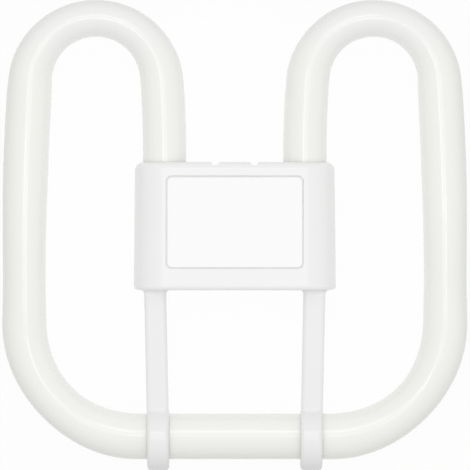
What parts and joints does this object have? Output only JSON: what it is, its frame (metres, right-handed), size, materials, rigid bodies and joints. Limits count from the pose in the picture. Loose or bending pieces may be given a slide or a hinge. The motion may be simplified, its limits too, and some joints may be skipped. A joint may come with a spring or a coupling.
{
  "type": "square compact fluorescent lamp",
  "caption": "Flat single-ended compact fluorescent lamp: a white glass tube bent into a square butterfly outline round a moulded cap with recessed contact pins and hooked support arms.",
  "frame": {"origin": "middle of the lamp in the plane of the cap's back rim, on which it lies", "axes": "+X to the right as seen from the front, +Y from the support arms' hooks towards the two lobes of the tube, +Z out of the front of the cap"},
  "size_m": [0.138, 0.14, 0.0275],
  "materials": {
    "coated_glass": "clear glass over an even white powder coating",
    "cap_plastic": "white moulded plastic, satin gloss",
    "label_film": "bare white label film",
    "pin_brass": "plated brass",
    "starter_glass": "glass bottle",
    "dipped_resin": "dipped resin",
    "lead_wire": "bare drawn wire",
    "glass_braid": "woven glass sleeving",
    "bonding_cement": "dried cement"
  },
  "bodies": {
    "root": {"discharge_tube": "coated_glass", "cap_body": "cap_plastic", "cap_cover": "cap_plastic", "label_panel": "label_film", "contact_pin_left": "pin_brass", "contact_pin_right": "pin_brass", "starter_bottle": "starter_glass", "capacitor": "dipped_resin", "pin_lead_left": "lead_wire", "pin_lead_right": "lead_wire", "starter_lead_left": "lead_wire", "starter_lead_right": "lead_wire", "lead_sleeve_left": "glass_braid", "lead_sleeve_right": "glass_braid", "tube_cement_left": "bonding_cement", "tube_cement_right": "bonding_cement"}
  },
  "joints": []
}
